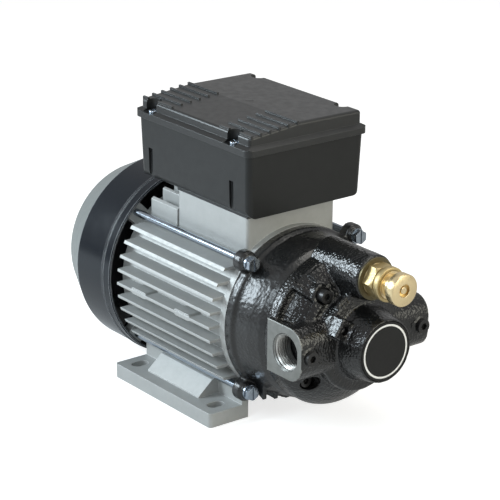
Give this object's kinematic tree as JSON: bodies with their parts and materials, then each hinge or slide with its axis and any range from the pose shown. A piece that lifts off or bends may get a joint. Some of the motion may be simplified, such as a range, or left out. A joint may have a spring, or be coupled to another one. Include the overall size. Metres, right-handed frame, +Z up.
{
  "type": "electric oil transfer pump",
  "caption": "Foot-mounted electric motor with terminal box driving an oil gear pump head that has two opposed threaded ports and an adjustable relief valve.",
  "frame": {"origin": "middle of the four foot slots, on the plane that the feet stand on", "axes": "+X along the shaft towards the pump head, +Y towards the outlet port, +Z up"},
  "size_m": [0.3402, 0.1596, 0.2328],
  "materials": {
    "cast_aluminium": "blasted die-casting",
    "black_casting_paint": "thick glossy black paint on cast iron",
    "band_plastic": "smooth blue-black plastic",
    "dome_plastic": "light grey plastic",
    "box_plastic": "fine-grained black plastic",
    "brass": "turned and polished",
    "zinc_steel": "bright zinc plated",
    "black_steel": "blackened socket screws",
    "machined_steel": "turned and ground steel",
    "lamination": "varnished electrical sheet",
    "cage_aluminium": "as cast",
    "copper": "varnished copper wire",
    "bronze": "sintered bronze",
    "rubber": "black rubber",
    "fan_plastic": "black moulded plastic",
    "gland_plastic": "black nylon",
    "terminal_plastic": "tan insulating plastic",
    "terminal_brass": "plated brass",
    "capacitor_plastic": "off-white plastic can",
    "disc_black": "satin black disc",
    "disc_white": "white ring"
  },
  "bodies": {
    "housing": {"motor_frame": "cast_aluminium", "rear_shield": "cast_aluminium", "stator_core": "lamination", "stator_windings": "copper", "front_bearing_outer": "machined_steel", "front_bearing_balls": "machined_steel", "rear_bearing_outer": "machined_steel", "rear_bearing_balls": "machined_steel", "wave_spring": "machined_steel", "fan_cover_ring": "band_plastic", "fan_cover_dome": "dome_plastic", "fan_cover_screws": "zinc_steel", "tie_rods": "zinc_steel", "tie_rod_washers": "zinc_steel", "base_gasket": "rubber", "box_base": "box_plastic", "base_screws": "zinc_steel", "terminal_block": "terminal_plastic", "terminal_posts": "terminal_brass", "run_capacitor": "capacitor_plastic", "capacitor_strap": "zinc_steel", "earth_screw": "zinc_steel", "gland_body": "gland_plastic", "gland_seal": "rubber", "gland_cap": "gland_plastic", "gland_locknut": "gland_plastic", "lid_gasket": "rubber", "box_lid": "box_plastic", "lid_screws": "zinc_steel", "bell_housing": "black_casting_paint", "shaft_seal": "rubber", "port_plate": "machined_steel", "plate_dowels": "machined_steel", "pump_body": "black_casting_paint", "body_o_ring": "rubber", "front_bush": "bronze", "body_screws": "black_steel", "port_plugs": "black_steel", "front_disc": "disc_black", "front_disc_ring": "disc_white", "valve_nut": "brass", "valve_washer": "brass", "valve_spring": "machined_steel"},
    "shaft_group": {"motor_shaft": "machined_steel", "shaft_key": "machined_steel", "rotor_core": "lamination", "rotor_cage": "cage_aluminium", "front_bearing_inner": "machined_steel", "rear_bearing_inner": "machined_steel", "fan": "fan_plastic", "fan_clip": "machined_steel", "inner_rotor": "machined_steel"},
    "ring_gear": {"outer_rotor": "machined_steel"},
    "poppet": {"valve_poppet": "machined_steel"},
    "spring_disc": {"spring_seat": "machined_steel"},
    "knob": {"adjusting_screw": "brass"}
  },
  "joints": [
    {"name": "shaft_spin", "type": "hinge", "parent": "housing", "child": "shaft_group", "pos_m": [0, 0, 0.08], "axis": [1, 0, 0], "continuous": true},
    {"name": "outer_rotor_spin", "type": "hinge", "parent": "housing", "child": "ring_gear", "pos_m": [0.112, 0, 0.0822], "axis": [1, 0, 0], "continuous": true},
    {"name": "poppet_lift", "type": "slide", "parent": "housing", "child": "poppet", "axis": [1, 0, 0], "range_m": [0, 0.004], "stiffness_N_per_m": 6000, "springref_m": -0.003, "deforming": ["valve_spring"]},
    {"name": "screw_feed", "type": "slide", "parent": "housing", "child": "spring_disc", "axis": [-1, 0, 0], "range_m": [-0.0015, 0.006]},
    {"name": "knob_turn", "type": "hinge", "parent": "spring_disc", "child": "knob", "pos_m": [0.186, 0, 0.1325], "axis": [-1, 0, 0], "range_deg": [-360, 1440]}
  ],
  "couplings": [
    {"joint": "outer_rotor_spin", "follows": "shaft_spin", "ratio": 0.85714},
    {"joint": "knob_turn", "follows": "screw_feed", "rad_per_m": 4188.8}
  ]
}
